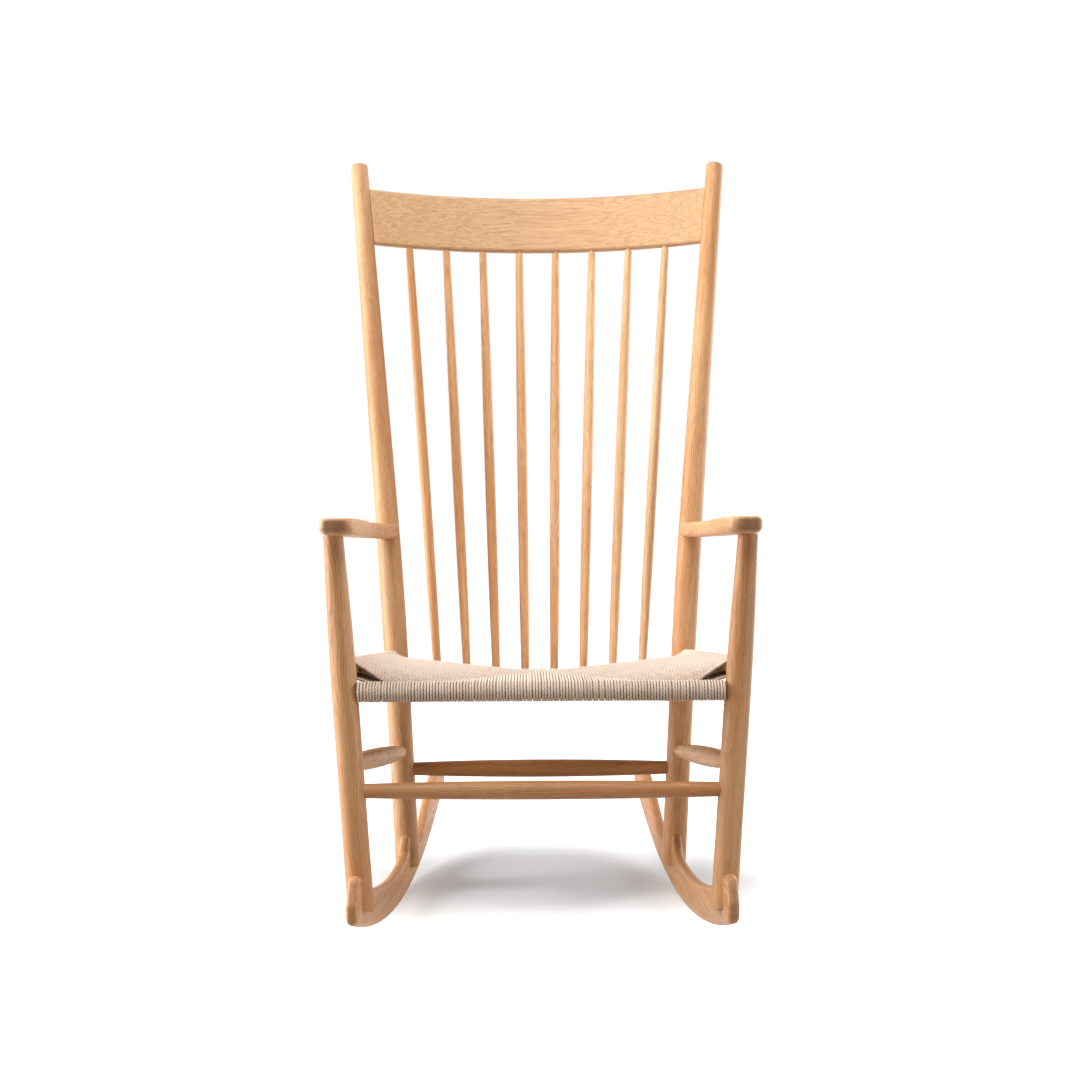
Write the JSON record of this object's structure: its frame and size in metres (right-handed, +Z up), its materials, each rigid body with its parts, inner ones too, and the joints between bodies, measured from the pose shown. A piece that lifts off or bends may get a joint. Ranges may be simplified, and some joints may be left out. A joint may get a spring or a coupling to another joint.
{
  "type": "rocking chair",
  "caption": "Wooden rocking chair with arms, a bowed top rail over slim turned spindles, curved runners and a woven cord seat.",
  "frame": {"origin": "on the floor, at mid-width, under the middle of the runners' length", "axes": "+Z up, +X towards the sitter's left, the sitter faces -Y"},
  "size_m": [0.5862, 0.8252, 1.0802],
  "materials": {
    "leg_wood": "satin",
    "runner_wood": "satin",
    "arm_wood": "satin",
    "back_wood": "satin",
    "spindle_wood": "satin",
    "rung_wood": "satin",
    "paper_cord": "matte"
  },
  "bodies": {
    "root": {"front_leg_left": "leg_wood", "front_leg_right": "leg_wood", "rear_post_left": "leg_wood", "rear_post_right": "leg_wood", "runner_left": "runner_wood", "runner_right": "runner_wood", "arm_left": "arm_wood", "arm_right": "arm_wood", "top_rail": "back_wood", "spindle_rail": "back_wood", "spindle_1": "spindle_wood", "spindle_2": "spindle_wood", "spindle_3": "spindle_wood", "spindle_4": "spindle_wood", "spindle_5": "spindle_wood", "spindle_6": "spindle_wood", "spindle_7": "spindle_wood", "spindle_8": "spindle_wood", "front_stretcher": "rung_wood", "rear_stretcher": "rung_wood", "side_stretcher_left": "rung_wood", "side_stretcher_right": "rung_wood", "seat_front_rail": "rung_wood", "seat_back_rail": "rung_wood", "seat_side_rail_left": "rung_wood", "seat_side_rail_right": "rung_wood", "cord_seat": "paper_cord"}
  },
  "joints": []
}
